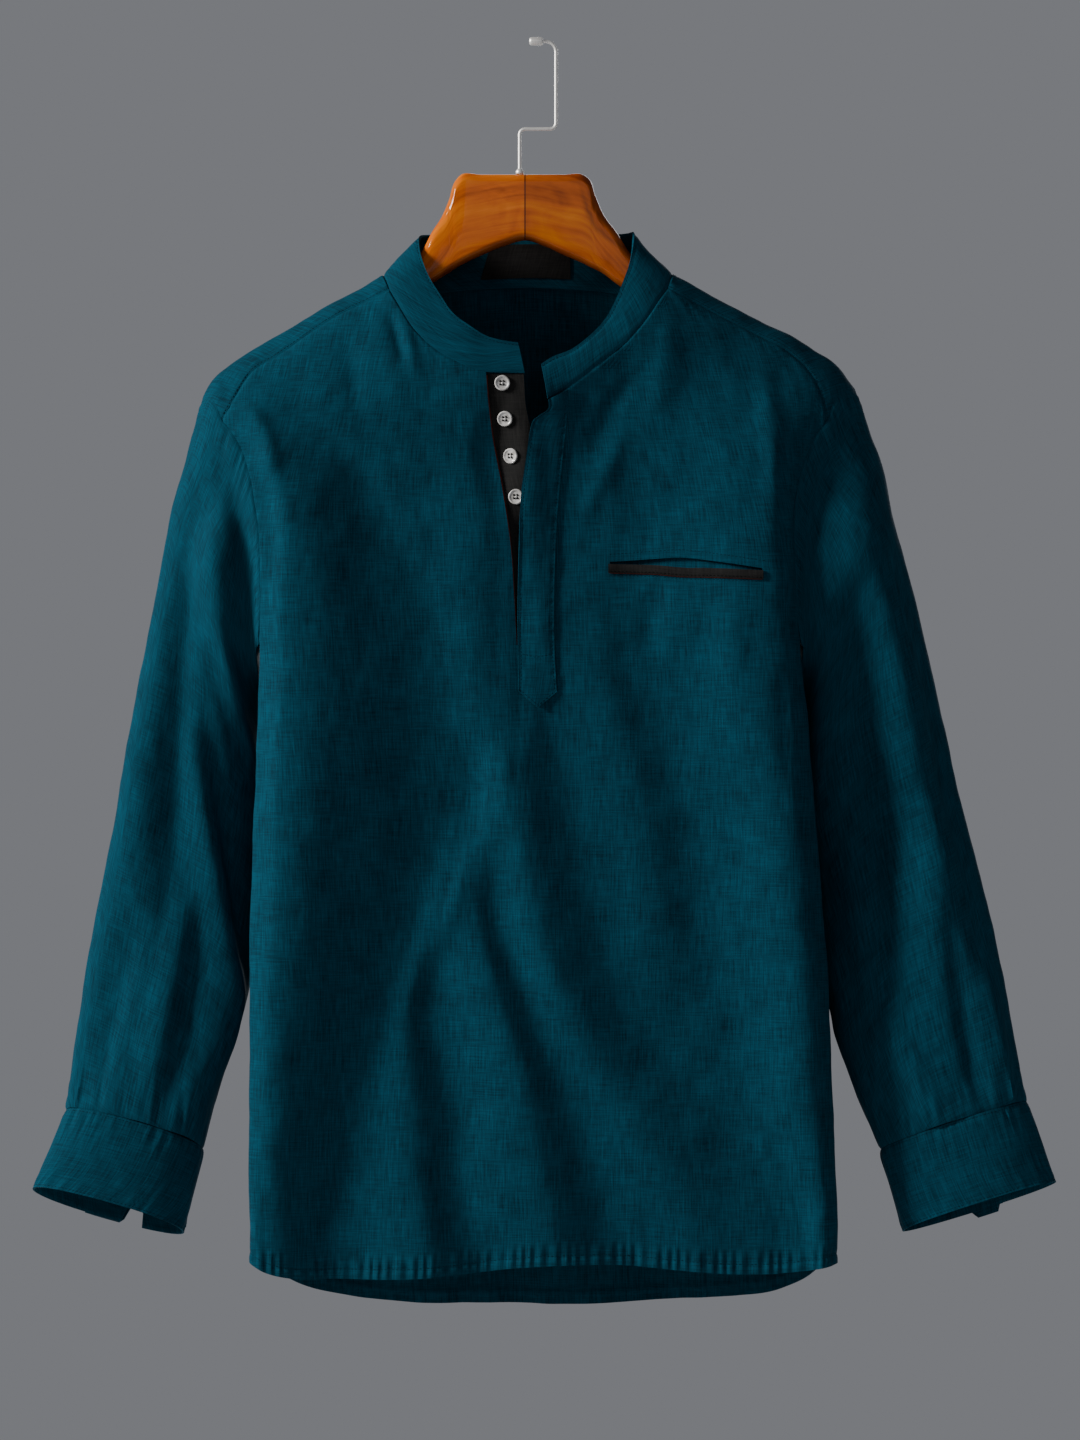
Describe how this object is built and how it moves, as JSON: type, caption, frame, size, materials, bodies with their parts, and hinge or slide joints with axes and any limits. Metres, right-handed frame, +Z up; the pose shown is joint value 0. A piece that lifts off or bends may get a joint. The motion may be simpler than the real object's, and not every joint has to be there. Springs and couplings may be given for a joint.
{
  "type": "short kurta on a hanger",
  "caption": "Long-sleeved collarless pullover shirt with a band collar, half placket and breast pocket, hanging on a curved wooden hanger with a wire hook.",
  "frame": {"origin": "the underside of the hook's top bend, where a rail holds it", "axes": "+Z up, front of the garment towards -Y, +X towards the viewer's right"},
  "size_m": [0.7919, 0.145, 0.9947],
  "materials": {
    "teal_linen": "matt slubby weave",
    "black_linen": "matt plain weave",
    "shell": "polished shell",
    "varnished_wood": "glossy varnish",
    "satin_steel": "satin"
  },
  "bodies": {
    "root": {"back": "teal_linen", "button_1": "shell", "button_2": "shell", "button_3": "shell", "button_4": "shell", "collar": "teal_linen", "cuff_button_left": "shell", "cuff_button_right": "shell", "cuff_left": "teal_linen", "cuff_right": "teal_linen", "front": "teal_linen", "hanger_wood": "varnished_wood", "hook_cap": "satin_steel", "hook_ferrule": "satin_steel", "hook_wire": "satin_steel", "neck_label": "black_linen", "placket_over": "teal_linen", "placket_under": "black_linen", "pocket_facing": "teal_linen", "pocket_welt": "black_linen", "sleeve_left": "teal_linen", "sleeve_placket_left": "teal_linen", "sleeve_placket_right": "teal_linen", "sleeve_right": "teal_linen", "yoke": "teal_linen"}
  },
  "joints": []
}
